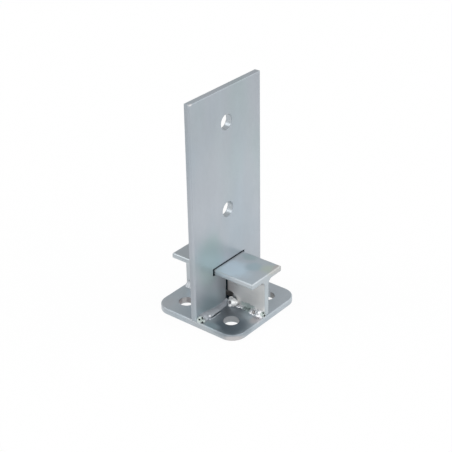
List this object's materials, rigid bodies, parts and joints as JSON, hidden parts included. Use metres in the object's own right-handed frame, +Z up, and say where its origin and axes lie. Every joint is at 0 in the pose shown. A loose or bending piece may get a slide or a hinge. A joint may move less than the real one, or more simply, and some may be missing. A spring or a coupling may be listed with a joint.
{
  "type": "timber post base",
  "caption": "Timber post base: flat upright blade welded to a square base plate, with a short T-section seat passing through the foot of the blade.",
  "frame": {"origin": "middle of the base plate's underside, where it rests on the concrete", "axes": "+Z up, along the blade; X across the blade's width; Y through the blade's thickness and along the T-section seat"},
  "size_m": [0.09, 0.09, 0.206],
  "materials": {
    "zinc_plated_steel": "satin, clear zinc plating with a faint blue-green cast",
    "weld_metal": "glossy rippled weld metal under the same zinc plating"
  },
  "bodies": {
    "root": {"base_plate": "zinc_plated_steel", "blade": "zinc_plated_steel", "seat_tee": "zinc_plated_steel", "weld_blade_front_left": "weld_metal", "weld_blade_front_right": "weld_metal", "weld_blade_back_left": "weld_metal", "weld_blade_back_right": "weld_metal", "weld_web_front_left": "weld_metal", "weld_web_front_right": "weld_metal", "weld_web_back_left": "weld_metal", "weld_web_back_right": "weld_metal", "weld_corner_front_left": "weld_metal"}
  },
  "joints": []
}
